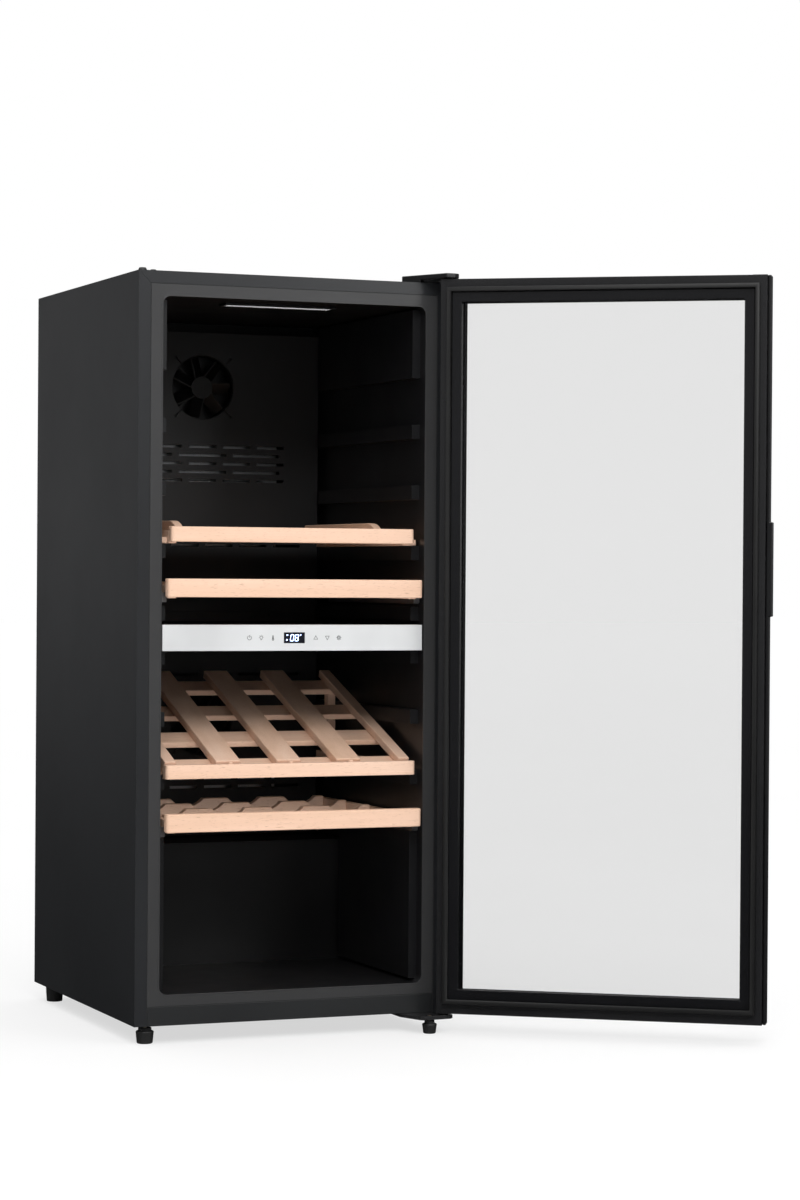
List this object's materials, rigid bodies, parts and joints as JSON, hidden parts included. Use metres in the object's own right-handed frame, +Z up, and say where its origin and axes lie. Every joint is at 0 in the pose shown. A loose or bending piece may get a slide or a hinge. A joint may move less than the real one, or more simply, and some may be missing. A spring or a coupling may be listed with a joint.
{
  "type": "wine cooler",
  "caption": "Tall free-standing two-zone wine cooler with a hinged glass door, a standing shelf, a tilted display shelf, pull-out shelves, ceiling light and a control panel between zones.",
  "frame": {"origin": "on the floor under the centre of the cabinet's footprint (door not counted)", "axes": "+Z up, -Y out of the front of the cabinet, +X to the right seen from the front, where the door is hinged"},
  "size_m": [0.9998, 0.9525, 1.2775],
  "materials": {
    "shell_black": "satin",
    "liner_black": "satin",
    "foam": "matte",
    "back_sheet": "matte",
    "base_steel": "matte",
    "compressor_paint": "gloss",
    "rubber": "matte",
    "copper": "satin",
    "condenser_paint": "satin",
    "duct_plastic": "satin",
    "fan_plastic": "matte",
    "aluminium_sheet": "satin",
    "panel_grey": "satin",
    "display_glass": "gloss",
    "lens": "matte",
    "hinge_steel": "satin",
    "cover_plastic": "satin",
    "zinc": "satin",
    "foot_plastic": "matte",
    "runner_steel": "satin",
    "door_bar": "satin",
    "door_plastic": "gloss",
    "clear_glass": "polished",
    "spacer_black": "matte",
    "gasket_rubber": "matte",
    "bush_plastic": "satin",
    "beech": "satin"
  },
  "bodies": {
    "cabinet": {"outer_shell": "shell_black", "inner_liner": "liner_black", "insulation": "foam", "back_panel": "back_sheet", "base_tray": "base_steel", "kick_panel": "shell_black", "compressor": "compressor_paint", "compressor_mounts": "rubber", "refrigerant_pipes": "copper", "condenser": "condenser_paint", "rear_cover": "back_sheet", "cord_gland": "foot_plastic", "evaporator_upper": "aluminium_sheet", "evaporator_lower": "aluminium_sheet", "duct_cover_upper": "duct_plastic", "duct_cover_lower": "duct_plastic", "fan_frame_upper": "fan_plastic", "fan_frame_lower": "fan_plastic", "zone_divider": "liner_black", "control_panel": "panel_grey", "display_window": "display_glass", "light_housing": "liner_black", "light_lens": "lens", "hinge_plate_top": "hinge_steel", "hinge_cover": "cover_plastic", "hinge_plate_bottom": "hinge_steel", "hinge_screws": "zinc", "rear_feet": "foot_plastic", "runner_rails": "runner_steel"},
    "door": {"door_frame": "door_bar", "door_inner_frame": "door_plastic", "door_outer_glass": "clear_glass", "door_inner_glass": "clear_glass", "glass_spacer": "spacer_black", "door_gasket": "gasket_rubber", "door_grip": "cover_plastic", "door_end_caps": "cover_plastic", "hinge_bushes": "bush_plastic"},
    "shelf_standing": {"shelf1_fascia": "beech", "shelf1_slats": "beech", "shelf1_sides": "beech", "shelf1_cheeks": "beech"},
    "shelf_pull_upper": {"shelf2_fascia": "beech", "shelf2_cradles": "beech", "shelf2_sides": "beech", "shelf2_runners": "runner_steel"},
    "shelf_tilted": {"shelf3_fascia": "beech", "shelf3_slats": "beech", "shelf3_sides": "beech", "shelf3_planks": "beech"},
    "shelf_pull_lower": {"shelf4_fascia": "beech", "shelf4_cradles": "beech", "shelf4_sides": "beech", "shelf4_runners": "runner_steel"},
    "fan_upper": {"impeller_upper": "fan_plastic"},
    "fan_lower": {"impeller_lower": "fan_plastic"},
    "left_foot": {"foot_left": "foot_plastic", "foot_stud_left": "zinc"},
    "right_foot": {"foot_right": "foot_plastic", "foot_stud_right": "zinc"}
  },
  "joints": [
    {"name": "door hinge", "type": "hinge", "parent": "cabinet", "child": "door", "pos_m": [0.263, -0.327, 0.65], "axis": [0, 0, 1], "range_deg": [-145, 0]},
    {"name": "standing shelf slide", "type": "slide", "parent": "cabinet", "child": "shelf_standing", "axis": [0, -1, 0], "range_m": [0, 0.2]},
    {"name": "upper pull-out slide", "type": "slide", "parent": "cabinet", "child": "shelf_pull_upper", "axis": [0, -1, 0], "range_m": [0, 0.27]},
    {"name": "tilted shelf slide", "type": "slide", "parent": "cabinet", "child": "shelf_tilted", "axis": [0, -1, 0], "range_m": [0, 0.2]},
    {"name": "lower pull-out slide", "type": "slide", "parent": "cabinet", "child": "shelf_pull_lower", "axis": [0, -1, 0], "range_m": [0, 0.27]},
    {"name": "upper fan spin", "type": "hinge", "parent": "cabinet", "child": "fan_upper", "pos_m": [0, 0.198, 1.107], "axis": [0, 1, 0], "continuous": true},
    {"name": "lower fan spin", "type": "hinge", "parent": "cabinet", "child": "fan_lower", "pos_m": [0, 0.198, 0.5], "axis": [0, 1, 0], "continuous": true},
    {"name": "left foot turn", "type": "hinge", "parent": "cabinet", "child": "left_foot", "pos_m": [-0.25, -0.276, 0.013], "axis": [0, 0, 1], "continuous": true},
    {"name": "right foot turn", "type": "hinge", "parent": "cabinet", "child": "right_foot", "pos_m": [0.233, -0.334, 0.011], "axis": [0, 0, 1], "continuous": true}
  ]
}
